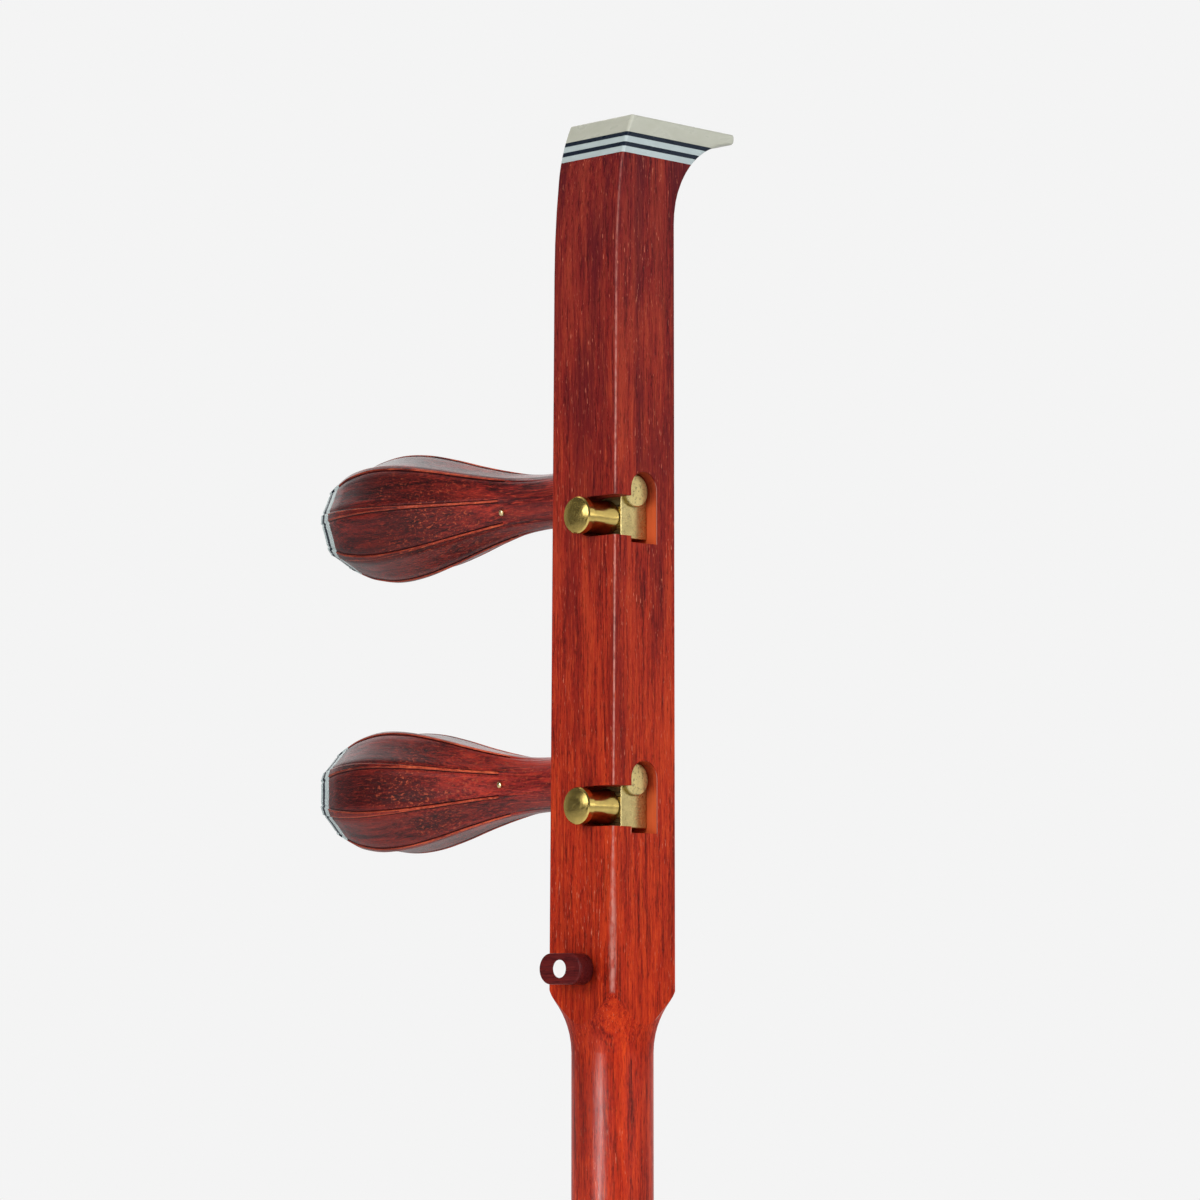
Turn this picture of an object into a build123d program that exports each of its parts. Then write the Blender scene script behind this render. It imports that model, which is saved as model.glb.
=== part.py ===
from build123d import *

import os
from math import acos, asin, atan, ceil, cos, degrees, hypot, pi, radians, sin, tan

# Neck of a banhu (two-string spike fiddle) with worm-geared tuners, in millimetres.
#
# The neck stands along +Z with its shoulder, where it sits on the sound box, at the origin.
# The front, where the strings run, faces -Y.  The peg handles leave along -X, and the
# tuner housings are let into the +X side.  The head flares back towards +Y.

# --- Heights: the top above the shoulder, and each feature's drop below the one above ----------
neck_top = 546.8
flare_drop = 30.1
head_drop = 45.0
upper_post_drop = 116.8
post_spacing = 83.0
nut_drop = 46.1
square_foot_drop = 3.15
shoulder_height = 20.5

# --- Neck section -------------------------------------------------------------------------
neck_width = 26.0
back_depth = 12.85
front_depth_foot = 13.0
front_depth_head = 11.3
edge_radius = 0.9
shaft_diameter = 23.5
knee_radius = 10.0
tenon_diameter = 16.0
tenon_length = 110.0
tenon_chamfer = 1.5

# --- Head and its laminated cap -------------------------------------------------------------
brow_radius = 254.0
brow_turn = 6.4
crown_radius = 52.0
flare_radius = 27.0
flare_turn = 80.0
lip_reach = 38.2
lip_radius = 1.4
white_layer = 1.8
black_layer = 1.3
ivory_layer = 5.4
crown_edge_radius = 0.8

# --- Tuner: worm, wheel and housing ---------------------------------------------------------
wheel_teeth = 12
gear_module = 0.65
pressure_angle = 25.0
worm_pitch_radius = 3.9
gear_backlash = 0.14
root_clearance = 0.13
wheel_width = 4.4
post_offset = 3.0
housing_wall = 0.6
housing_face_wall = 0.95
worm_lead_in = 0.85
housing_back_wall = 1.6
housing_drop = 6.0
housing_fit = 0.12
housing_edge = 0.25
cheek_gap = 0.2
running_fit = 0.05
worm_journal_step = 0.05
worm_journal_length = 2.1
worm_end_relief = 0.25
worm_stand_out = 1.25
worm_face_chamfer = 0.25
thread_embed = 0.15
shaft_radius = 2.5
recess_foot_gap = 1.6
barrel_gap = 0.2

# --- String post ------------------------------------------------------------------------------
collar_radius = 5.3
collar_thickness = 2.6
collar_rim = 0.35
collar_dome = 0.7
string_gap = 2.35
barrel_waist_radius = 4.5
barrel_foot_radius = 5.1
post_journal_radius = 2.6
wheel_seat = 3.5
tail_journal_radius = 1.6
tail_length = 1.8
counterbore_gap = 0.3
string_hole_diameter = 1.4
notch_gap = 0.7
screw_head_radius = 2.0
screw_head_thickness = 0.8
screw_shank_radius = 0.8
screw_shank_length = 2.6
screw_slot_width = 0.5

# --- Peg handle -------------------------------------------------------------------------------
bush_wall = 1.5
bush_flange_reach = 3.0
bush_flange_thickness = 0.9
handle_gap = 0.4
pin_distance = 24.6
pin_diameter = 1.8
pin_proud = 0.2
stub_past_pin = 4.5
stub_radius = 2.2
stub_end_gap = 0.5
white_inner_thickness = 2.9
black_ring_thickness = 1.7
white_outer_thickness = 1.3
facet_hollow = 0.022
# Distance from the neck's side and half width across the flats, at each station.
handle_stations = [
    (bush_flange_thickness + handle_gap, 8.7),
    (14.0, 8.3),
    (26.0, 9.2),
    (40.0, 11.9),
    (54.0, 15.2),
    (66.0, 17.5),
    (77.0, 18.3),
    (88.0, 17.4),
    (94.5, 15.4),
    (99.3, 12.9),
]
grip_neck_radius = 8.2
grip_neck_end = 12.0
ridge_start = 22.0
ridge_start_radius = 9.0
ridge_end = 32.0
ridge_end_radius = 11.6
# How far each peg is turned at rest, in degrees.
peg_turns = {"upper": 20.0, "lower": 0.0}

# --- Nut block --------------------------------------------------------------------------------
nut_width = 17.2
nut_root_width = 10.4
nut_thickness = 8.8
nut_stand_out = 8.2
nut_edge = 0.5
nut_dot_diameter = 5.1
nut_dot_depth = 1.2
nut_dowel_diameter = 4.0
nut_dowel_in_neck = 7.0
nut_dowel_in_block = 5.0

# --- Derived sizes ------------------------------------------------------------------------------
upper_post_height = neck_top - upper_post_drop
lower_post_height = upper_post_height - post_spacing
nut_height = lower_post_height - nut_drop
square_foot_height = nut_height - square_foot_drop
head_start_height = neck_top - head_drop
flare_start_height = neck_top - flare_drop
side_face = neck_width / 2
axial_pitch = pi * gear_module
flank_angle = radians(pressure_angle)
lead_angle = atan(axial_pitch / (2 * pi * worm_pitch_radius))
wheel_pitch_radius = gear_module * wheel_teeth / 2
wheel_outer_radius = wheel_pitch_radius + gear_module
wheel_root_radius = wheel_pitch_radius - gear_module - root_clearance
worm_outer_radius = worm_pitch_radius + gear_module
worm_root_radius = worm_pitch_radius - gear_module - root_clearance
worm_rise = wheel_pitch_radius + worm_pitch_radius
worm_journal_radius = worm_outer_radius + worm_journal_step
housing_half_width = worm_journal_radius + housing_wall
housing_face = post_offset + wheel_outer_radius + cheek_gap + housing_face_wall
wheel_slot_back = wheel_outer_radius + cheek_gap - post_offset
housing_back = wheel_slot_back + worm_lead_in + housing_back_wall
recess_half_width = housing_half_width + housing_fit
recess_drop = housing_drop + recess_foot_gap
notch_half_height = barrel_foot_radius + notch_gap
counterbore_radius = screw_head_radius + counterbore_gap
bush_radius = shaft_radius + bush_wall
bush_flange_radius = bush_radius + bush_flange_reach
stub_length = pin_distance + stub_past_pin
front_slope = (front_depth_foot - front_depth_head) / (head_start_height - square_foot_height)
thread_width = (axial_pitch - gear_backlash) / 2
worm_face = housing_face + worm_stand_out
journal_start = worm_face - worm_journal_length
wood_top = neck_top - ivory_layer - 2 * (black_layer + white_layer)
counterbore_floor = wheel_width / 2 + tail_length - cheek_gap
cap_layers = {
    "cap_white_lower": white_layer,
    "cap_black_lower": black_layer,
    "cap_white_upper": white_layer,
    "cap_black_upper": black_layer,
}
tuner_heights = {"upper": upper_post_height, "lower": lower_post_height}


def front_depth(height):
    """Distance from the neck's axis to its front face, which leans back towards the head."""
    return front_depth_foot - front_slope * (height - square_foot_height)


def handle_half_width(distance):
    """Half width of the handle across its flats, between the two stations around a distance."""
    for near, far in zip(handle_stations, handle_stations[1:]):
        if near[0] <= distance <= far[0]:
            share = (distance - near[0]) / (far[0] - near[0])
            return near[1] + share * (far[1] - near[1])


def involute(angle):
    """Involute function of an angle in radians."""
    return tan(angle) - angle


def save(piece, name):
    """Label one finished piece and write it as its own node."""
    piece.label = name
    export_step(piece, f"parts/{name}.step")


# === Neck ========================================================================================
def head_and_neck_blank():
    """Square neck with its leaning front, arched brow, flared back and lip, up to the crown."""
    with BuildPart() as blank:
        with BuildSketch(Plane.YZ) as side_profile:
            with BuildLine():
                front = Line((-front_depth(0), 0), (-front_depth_head, head_start_height))
                brow = JernArc(start=front @ 1, tangent=front % 1, radius=brow_radius, arc_size=-brow_turn)
                brow_lean = (brow % 1).X
                crown_lean = brow_lean + (neck_top - (brow @ 1).Y) / crown_radius
                crown_turn = degrees(asin(crown_lean) - asin(brow_lean))
                crown = JernArc(start=brow @ 1, tangent=brow % 1, radius=crown_radius, arc_size=-crown_turn)
                back = Line((-front_depth(0), 0), (back_depth, 0))
                spine = Line(back @ 1, (back_depth, flare_start_height))
                flare = JernArc(start=spine @ 1, tangent=(0, 1), radius=flare_radius, arc_size=-flare_turn)
                lip_run = (lip_reach - (flare @ 1).X) / (flare % 1).X
                underside = Line(flare @ 1, flare @ 1 + flare % 1 * lip_run)
                Polyline(crown @ 1, (lip_reach, neck_top), underside @ 1)
            make_face()
            lip_corners = side_profile.vertices().group_by(Axis.X)[-1]
            fillet(lip_corners.sort_by(Axis.Y)[0], radius=lip_radius)
        extrude(amount=side_face, both=True)
        side_edges = blank.edges().filter_by(lambda edge: abs(edge.center().X) > side_face - 0.01)
        fillet(side_edges.filter_by(lambda edge: edge.bounding_box().size.Z > 0.1), radius=edge_radius)
    return blank.part


def between_heights(solid, bottom, top):
    """The slice of the blank between two level planes."""
    with BuildPart() as slice_of_blank:
        add(solid)
        split(bisect_by=Plane.XY.offset(bottom), keep=Keep.TOP)
        split(bisect_by=Plane.XY.offset(top), keep=Keep.BOTTOM)
    return slice_of_blank.part


def tuner_seat(post_height):
    """What one tuner takes out of the neck: housing recess, post notch and bush bore."""
    worm_height = post_height + worm_rise
    recess_floor = housing_back + housing_fit
    with BuildPart() as seat:
        with BuildSketch(Plane.YZ.offset(-recess_floor)):
            with Locations((0, worm_height)):
                Circle(recess_half_width)
            with Locations((0, post_height + (worm_rise - recess_drop) / 2)):
                Rectangle(2 * recess_half_width, worm_rise + recess_drop)
        extrude(amount=recess_floor + side_face)
        with BuildSketch(Plane.XZ):
            with Locations((post_offset, post_height)):
                Circle(notch_half_height)
                Rectangle(neck_width, 2 * notch_half_height, align=(Align.MIN, Align.CENTER))
        extrude(amount=front_depth(0))
        with BuildSketch(Plane.YZ.offset(-side_face)):
            with Locations((0, worm_height)):
                Circle(bush_radius)
        extrude(amount=side_face)
    return seat.part


def shaft_turning():
    """Ring of wood turned away to leave the round shaft and the S-shaped shoulder above it."""
    shaft_side = shaft_diameter / 2
    corner_reach = hypot(side_face, front_depth_foot)
    turn = 2 * atan((corner_reach - shaft_side) / shoulder_height)
    scoop_radius = shoulder_height / sin(turn) - knee_radius
    swing = hypot(side_face, front_depth(0)) + 1
    with BuildPart() as turning:
        with BuildSketch(Plane.XZ):
            with BuildLine():
                side = Line((shaft_side, 0), (shaft_side, square_foot_height - shoulder_height))
                scoop = JernArc(side @ 1, (0, 1), scoop_radius, -degrees(turn))
                knee = JernArc(scoop @ 1, scoop % 1, knee_radius, degrees(turn))
                Polyline(knee @ 1, (swing, square_foot_height), (swing, 0), side @ 0)
            make_face()
        revolve(axis=Axis.Z)
    return turning.part


os.makedirs("parts", exist_ok=True)
blank = head_and_neck_blank()
nut_face = front_depth(nut_height)
turning = shaft_turning()
tuner_seats = [tuner_seat(height) for height in tuner_heights.values()]

with BuildPart() as neck:
    add(blank)
    split(bisect_by=Plane.XY.offset(wood_top), keep=Keep.BOTTOM)
    add(turning, mode=Mode.SUBTRACT)
    with BuildSketch(Plane.XY):
        Circle(tenon_diameter / 2)
    extrude(amount=-tenon_length)
    chamfer(neck.edges().group_by(Axis.Z)[0], length=tenon_chamfer)
    add(tuner_seats, mode=Mode.SUBTRACT)
    with BuildSketch(Plane.XZ.offset(nut_face - nut_dowel_in_neck)):
        with Locations((0, nut_height)):
            Circle(nut_dowel_diameter / 2)
    extrude(amount=2 * nut_dowel_in_neck, mode=Mode.SUBTRACT)
save(neck.part, "neck")

# === Laminated cap ================================================================================
layer_foot = wood_top
for layer_name, layer_thickness in cap_layers.items():
    layer = between_heights(blank, layer_foot, layer_foot + layer_thickness)
    save(layer, layer_name)
    layer_foot = layer_foot + layer_thickness

with BuildPart() as cap_ivory:
    add(blank)
    split(bisect_by=Plane.XY.offset(layer_foot), keep=Keep.TOP)
    fillet(cap_ivory.faces().sort_by(Axis.Z)[-1].edges(), radius=crown_edge_radius)
save(cap_ivory.part, "cap_ivory")

# === Nut block ====================================================================================
with BuildPart() as nut_block:
    with BuildSketch(Plane.XZ.offset(nut_face - nut_edge)):
        with Locations((0, nut_height)):
            SlotOverall(nut_root_width, nut_thickness)
    with BuildSketch(Plane.XZ.offset(nut_face + nut_stand_out)):
        with Locations((0, nut_height)):
            SlotOverall(nut_width, nut_thickness)
    loft()
    fillet(nut_block.faces().sort_by(Axis.Y)[0].edges(), radius=nut_edge)
    add(blank, mode=Mode.SUBTRACT)
    with BuildSketch(Plane.XZ.offset(nut_face + nut_stand_out - nut_dot_depth)):
        with Locations((0, nut_height)):
            Circle(nut_dot_diameter / 2)
    extrude(amount=nut_dot_depth, mode=Mode.SUBTRACT)
    with BuildSketch(Plane.XZ.offset(nut_face + nut_dowel_in_block)):
        with Locations((0, nut_height)):
            Circle(nut_dowel_diameter / 2)
    extrude(amount=-nut_stand_out, mode=Mode.SUBTRACT)
save(nut_block.part, "nut_block")

with BuildPart() as nut_inlay_dot:
    with BuildSketch(Plane.XZ.offset(nut_face + nut_stand_out - nut_dot_depth)):
        with Locations((0, nut_height)):
            Circle(nut_dot_diameter / 2)
    extrude(amount=nut_dot_depth)
save(nut_inlay_dot.part, "nut_inlay_dot")

with BuildPart() as nut_dowel:
    with BuildSketch(Plane.XZ.offset(nut_face - nut_dowel_in_neck)):
        with Locations((0, nut_height)):
            Circle(nut_dowel_diameter / 2)
    extrude(amount=nut_dowel_in_neck + nut_dowel_in_block)
save(nut_dowel.part, "nut_dowel")

# === Tuner, drawn with its string post on the origin's height =====================================
worm_axis = Axis((0, 0, worm_rise), (1, 0, 0))
post_axis = Axis((post_offset, 0, 0), (0, 1, 0))
slot_half_width = wheel_width / 2 + cheek_gap
handle_start = handle_stations[0][0]
collar_face = front_depth(lower_post_height) + string_gap
post_end = collar_face + collar_thickness

with BuildPart() as housing:
    with BuildSketch(Plane.YZ.offset(-housing_back)):
        with Locations((0, worm_rise)):
            Circle(housing_half_width)
        with Locations((0, (worm_rise - housing_drop) / 2)):
            Rectangle(2 * housing_half_width, worm_rise + housing_drop)
    extrude(amount=housing_back + housing_face)
    fillet(housing.faces().sort_by(Axis.X)[-1].edges(), radius=housing_edge)
    with BuildSketch(Plane.YZ.offset(housing_back_wall - housing_back)):
        with Locations((0, worm_rise)):
            Circle(worm_journal_radius + running_fit)
    extrude(amount=housing_back + housing_face, mode=Mode.SUBTRACT)
    with BuildSketch(Plane.YZ.offset(-housing_back)):
        with Locations((0, worm_rise)):
            Circle(shaft_radius + running_fit)
    extrude(amount=housing_back_wall, mode=Mode.SUBTRACT)
    with BuildSketch(Plane.XZ):
        with Locations((post_offset, 0)):
            Circle(wheel_outer_radius + cheek_gap)
            Rectangle(2 * (wheel_outer_radius + cheek_gap), housing_drop, align=(Align.CENTER, Align.MAX))
    extrude(amount=slot_half_width, both=True, mode=Mode.SUBTRACT)
    with BuildSketch(Plane.XZ):
        with Locations((post_offset, 0)):
            Circle(post_journal_radius + running_fit)
    extrude(amount=housing_half_width, mode=Mode.SUBTRACT)
    with BuildSketch(Plane.XZ):
        with Locations((post_offset, 0)):
            Circle(tail_journal_radius + running_fit)
    extrude(amount=-housing_half_width, mode=Mode.SUBTRACT)
    with BuildSketch(Plane.XZ.offset(-housing_half_width)):
        with Locations((post_offset, 0)):
            Circle(counterbore_radius)
    extrude(amount=housing_half_width - counterbore_floor, mode=Mode.SUBTRACT)


# --- Worm shaft ---------------------------------------------------------------------------------
thread_start = housing_back_wall - housing_back + worm_end_relief
thread_end = journal_start
thread_turns = ceil((thread_end - thread_start) / axial_pitch) + 2
thread_first_x = post_offset - axial_pitch * (ceil((post_offset - thread_start) / axial_pitch) + 0.5)
thread_base_radius = worm_root_radius - thread_embed
thread_base_width = thread_width + 2 * (worm_pitch_radius - thread_base_radius) * tan(flank_angle)

with BuildPart() as worm_shaft:
    with BuildLine():
        coil = Helix(
            axial_pitch,
            axial_pitch * thread_turns,
            thread_base_radius,
            center=(thread_first_x, 0, worm_rise),
            direction=(1, 0, 0),
        )
    with BuildSketch(Plane(origin=coil @ 0, x_dir=(0, 0, 1), z_dir=coil % 0)):
        Trapezoid(
            thread_base_width,
            worm_outer_radius - thread_base_radius,
            90 - pressure_angle,
            rotation=-90,
            align=(Align.CENTER, Align.MIN),
        )
    sweep(path=coil, is_frenet=True)
    split(bisect_by=Plane.YZ.offset(thread_start), keep=Keep.TOP)
    split(bisect_by=Plane.YZ.offset(thread_end), keep=Keep.BOTTOM)
    with BuildSketch(Plane.XZ):
        with BuildLine():
            Polyline(
                (-side_face - stub_length, worm_rise),
                (-side_face - stub_length, worm_rise + stub_radius),
                (-side_face - handle_start, worm_rise + stub_radius),
                (-side_face - handle_start, worm_rise + shaft_radius),
                (thread_start, worm_rise + shaft_radius),
                (thread_start, worm_rise + worm_root_radius),
                (thread_end, worm_rise + worm_root_radius),
                (thread_end, worm_rise + worm_journal_radius),
                (worm_face, worm_rise + worm_journal_radius),
                (worm_face, worm_rise),
                close=True,
            )
        make_face()
    revolve(axis=worm_axis)
    chamfer(worm_shaft.edges().group_by(Axis.X)[-1], length=worm_face_chamfer)


# --- Worm wheel ---------------------------------------------------------------------------------
def wheel_outline(twist):
    """Involute teeth around the post, with a gap upwards when the twist is zero."""
    base_radius = wheel_pitch_radius * cos(flank_angle)
    half_tooth = thread_width / 2 / wheel_pitch_radius
    mid_addendum = wheel_pitch_radius + gear_module / 2
    flank_radii = [base_radius, wheel_pitch_radius, mid_addendum, wheel_outer_radius]
    flank = [(wheel_root_radius, half_tooth + involute(flank_angle))]
    for radius in flank_radii:
        slope = acos(base_radius / radius)
        flank.append((radius, half_tooth + involute(flank_angle) - involute(slope)))
    tooth = [(radius, -angle) for radius, angle in flank]
    tooth += [(radius, angle) for radius, angle in reversed(flank)]
    outline = []
    for number in range(wheel_teeth):
        centre = 2 * pi * (number + 0.5) / wheel_teeth + twist
        for radius, angle in tooth:
            outline.append((post_offset + radius * sin(centre + angle), radius * cos(centre + angle)))
    return outline


with BuildPart() as worm_wheel:
    for side in (-wheel_width / 2, wheel_width / 2):
        with BuildSketch(Plane.XZ.offset(-side)):
            with BuildLine():
                Polyline(wheel_outline(side * tan(lead_angle) / wheel_pitch_radius), close=True)
            make_face()
    loft(ruled=True)
    with BuildSketch(Plane.XZ):
        with Locations((post_offset, 0)):
            Rectangle(wheel_seat, wheel_seat)
    extrude(amount=wheel_width, both=True, mode=Mode.SUBTRACT)

# --- String post --------------------------------------------------------------------------------
barrel_foot = housing_half_width + barrel_gap
tail_end = wheel_width / 2 + tail_length

with BuildPart() as string_post:
    with BuildSketch(Plane.XY):
        with BuildLine():
            dome = ThreePointArc(
                (post_offset - collar_radius, -post_end),
                (post_offset, -post_end - collar_dome),
                (post_offset + collar_radius, -post_end),
                mode=Mode.PRIVATE,
            )
            add(dome.trim(0.5, 1))
            rim = Polyline(
                (post_offset + collar_radius, -post_end),
                (post_offset + collar_radius, -collar_face),
                (post_offset + barrel_waist_radius, -collar_face),
            )
            barrel = TangentArc(
                rim @ 1, (post_offset + barrel_foot_radius, -barrel_foot), tangent=(0, 1)
            )
            Polyline(
                barrel @ 1,
                (post_offset + post_journal_radius, -barrel_foot),
                (post_offset + post_journal_radius, -wheel_width / 2),
                (post_offset + tail_journal_radius, -wheel_width / 2),
                (post_offset + tail_journal_radius, tail_end),
                (post_offset, tail_end),
                (post_offset, -post_end - collar_dome),
            )
        make_face()
    revolve(axis=post_axis)
    collar_edges = string_post.edges().filter_by(GeomType.CIRCLE).filter_by(
        lambda edge: edge.radius > (collar_radius + barrel_foot_radius) / 2
    )
    chamfer(collar_edges, length=collar_rim)
    with BuildSketch(Plane.XZ.offset(-wheel_width / 2)):
        with Locations((post_offset, 0)):
            Rectangle(wheel_seat, wheel_seat)
    extrude(amount=wheel_width)
    with BuildSketch(Plane.XZ.offset(-tail_end)):
        with Locations((post_offset, 0)):
            Circle(screw_shank_radius)
    extrude(amount=screw_shank_length, mode=Mode.SUBTRACT)
    with BuildSketch(Plane.XY):
        with Locations((post_offset, string_gap / 2 - collar_face)):
            Circle(string_hole_diameter / 2)
    extrude(amount=collar_radius, both=True, mode=Mode.SUBTRACT)

with BuildPart() as wheel_screw:
    with BuildSketch(Plane.XZ.offset(-tail_end)):
        with Locations((post_offset, 0)):
            Circle(screw_shank_radius)
    extrude(amount=screw_shank_length)
    with BuildSketch(Plane.XZ.offset(-tail_end)):
        with Locations((post_offset, 0)):
            Circle(screw_head_radius)
    extrude(amount=-screw_head_thickness)
    with BuildSketch(Plane.XZ.offset(-tail_end - screw_head_thickness)):
        with Locations((post_offset, 0)):
            Rectangle(2 * screw_head_radius, screw_slot_width)
    extrude(amount=screw_head_thickness / 2, mode=Mode.SUBTRACT)

# --- Peg bush and handle --------------------------------------------------------------------------
with BuildPart() as peg_bush:
    with BuildSketch(Plane.YZ.offset(-side_face - bush_flange_thickness)):
        with Locations((0, worm_rise)):
            Circle(bush_flange_radius)
    extrude(amount=bush_flange_thickness)
    fillet(peg_bush.faces().sort_by(Axis.X)[0].edges(), radius=bush_flange_thickness / 2)
    with BuildSketch(Plane.YZ.offset(-side_face)):
        with Locations((0, worm_rise)):
            Circle(bush_radius)
    extrude(amount=side_face - housing_back - housing_fit)
    with BuildSketch(Plane.YZ.offset(-side_face - bush_flange_thickness)):
        with Locations((0, worm_rise)):
            Circle(shaft_radius + running_fit)
    extrude(amount=side_face, mode=Mode.SUBTRACT)


def station_plane(distance):
    """Plane across the handle at a distance from the neck's side, facing away from the neck."""
    return Plane(origin=(-side_face - distance, 0, worm_rise), x_dir=(0, 1, 0), z_dir=(-1, 0, 0))


with BuildPart() as handle_blank:
    for distance, half_width in handle_stations:
        with BuildSketch(station_plane(distance)):
            with BuildLine():
                for side in range(8):
                    corners = [
                        PolarLine((0, 0), half_width / cos(pi / 8), angle, mode=Mode.PRIVATE) @ 1
                        for angle in (45 * side - 22.5, 45 * side + 22.5)
                    ]
                    hollow = half_width * (1 - facet_hollow)
                    middle = PolarLine((0, 0), hollow, 45 * side, mode=Mode.PRIVATE)
                    ThreePointArc(corners[0], middle @ 1, corners[1])
            make_face()
    loft()
    with BuildSketch(Plane.XZ):
        with BuildLine():
            grip = Line((-side_face, worm_rise + grip_neck_radius),
                        (-side_face - grip_neck_end, worm_rise + grip_neck_radius))
            swell = Spline(
                grip @ 1,
                (-side_face - ridge_start, worm_rise + ridge_start_radius),
                (-side_face - ridge_end, worm_rise + ridge_end_radius),
                tangents=[(-1, 0), (-1, 0.35)],
            )
            Polyline(
                swell @ 1,
                (-side_face - ridge_end, worm_rise + 2 * ridge_end_radius),
                (-side_face, worm_rise + 2 * ridge_end_radius),
                grip @ 0,
            )
        make_face()
    revolve(axis=worm_axis, mode=Mode.SUBTRACT)
    with BuildSketch(station_plane(handle_start)):
        Circle(stub_radius)
    extrude(amount=stub_length - handle_start + stub_end_gap, mode=Mode.SUBTRACT)
    with BuildSketch(Plane.XZ):
        with Locations((-side_face - pin_distance, worm_rise)):
            Circle(pin_diameter / 2)
    extrude(amount=2 * ridge_end_radius, both=True, mode=Mode.SUBTRACT)

handle_length = handle_stations[-1][0]
black_end = handle_length - white_outer_thickness
white_inner_end = black_end - black_ring_thickness
wood_end = white_inner_end - white_inner_thickness


def between_stations(near, far):
    """The slice of the handle blank between two distances from the neck's side."""
    with BuildPart() as slice_of_handle:
        add(handle_blank.part)
        split(bisect_by=station_plane(near), keep=Keep.TOP)
        split(bisect_by=station_plane(far), keep=Keep.BOTTOM)
    return slice_of_handle.part


pin_half_length = handle_half_width(pin_distance) * (1 - facet_hollow) + pin_proud
with BuildPart() as cross_pin:
    with BuildSketch(Plane.XZ):
        with Locations((-side_face - pin_distance, worm_rise)):
            Circle(pin_diameter / 2)
    extrude(amount=pin_half_length, both=True)

tuner_pieces = {
    "housing": housing.part,
    "worm_wheel": worm_wheel.part,
    "string_post": string_post.part,
    "wheel_screw": wheel_screw.part,
    "peg_bush": peg_bush.part,
}
handle_pieces = {
    "peg_handle": between_stations(handle_start, wood_end),
    "peg_white_inner": between_stations(wood_end, white_inner_end),
    "peg_black_ring": between_stations(white_inner_end, black_end),
    "peg_white_outer": between_stations(black_end, handle_length),
    "cross_pin": cross_pin.part,
}
for tuner_name, tuner_height in tuner_heights.items():
    for piece_name, piece in tuner_pieces.items():
        save(Pos(0, 0, tuner_height) * piece, f"{tuner_name}_{piece_name}")
    for piece_name, piece in handle_pieces.items():
        turned = piece.rotate(worm_axis, peg_turns[tuner_name])
        save(Pos(0, 0, tuner_height) * turned, f"{tuner_name}_{piece_name}")
    drilled_shaft = worm_shaft.part - cross_pin.part.rotate(worm_axis, peg_turns[tuner_name])
    save(Pos(0, 0, tuner_height) * drilled_shaft, f"{tuner_name}_worm_shaft")
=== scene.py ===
import math

import bmesh
import bpy
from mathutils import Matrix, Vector


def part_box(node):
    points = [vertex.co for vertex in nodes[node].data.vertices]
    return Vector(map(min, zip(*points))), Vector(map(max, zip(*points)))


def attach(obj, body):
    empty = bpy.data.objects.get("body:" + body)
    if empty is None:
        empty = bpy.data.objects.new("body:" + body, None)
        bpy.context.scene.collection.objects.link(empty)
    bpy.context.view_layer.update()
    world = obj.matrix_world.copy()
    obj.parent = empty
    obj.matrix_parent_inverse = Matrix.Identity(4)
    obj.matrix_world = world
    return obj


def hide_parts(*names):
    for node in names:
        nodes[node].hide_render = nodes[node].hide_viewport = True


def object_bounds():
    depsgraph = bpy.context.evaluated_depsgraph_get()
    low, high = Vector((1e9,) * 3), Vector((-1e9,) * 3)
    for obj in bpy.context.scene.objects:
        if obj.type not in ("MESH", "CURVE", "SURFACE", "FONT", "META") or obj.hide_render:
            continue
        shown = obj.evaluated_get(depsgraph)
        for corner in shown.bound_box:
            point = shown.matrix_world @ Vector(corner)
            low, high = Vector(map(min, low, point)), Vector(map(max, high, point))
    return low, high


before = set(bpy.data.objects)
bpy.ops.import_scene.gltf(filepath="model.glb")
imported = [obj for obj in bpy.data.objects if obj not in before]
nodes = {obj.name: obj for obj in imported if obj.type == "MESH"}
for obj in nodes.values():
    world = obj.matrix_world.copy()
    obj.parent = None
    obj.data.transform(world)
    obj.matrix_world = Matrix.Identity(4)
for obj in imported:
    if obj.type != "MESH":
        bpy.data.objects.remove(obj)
cad_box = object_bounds()
scene = bpy.context.scene
TUNERS = ("upper", "lower")
MM = 1000  # millimetres in a metre


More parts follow.
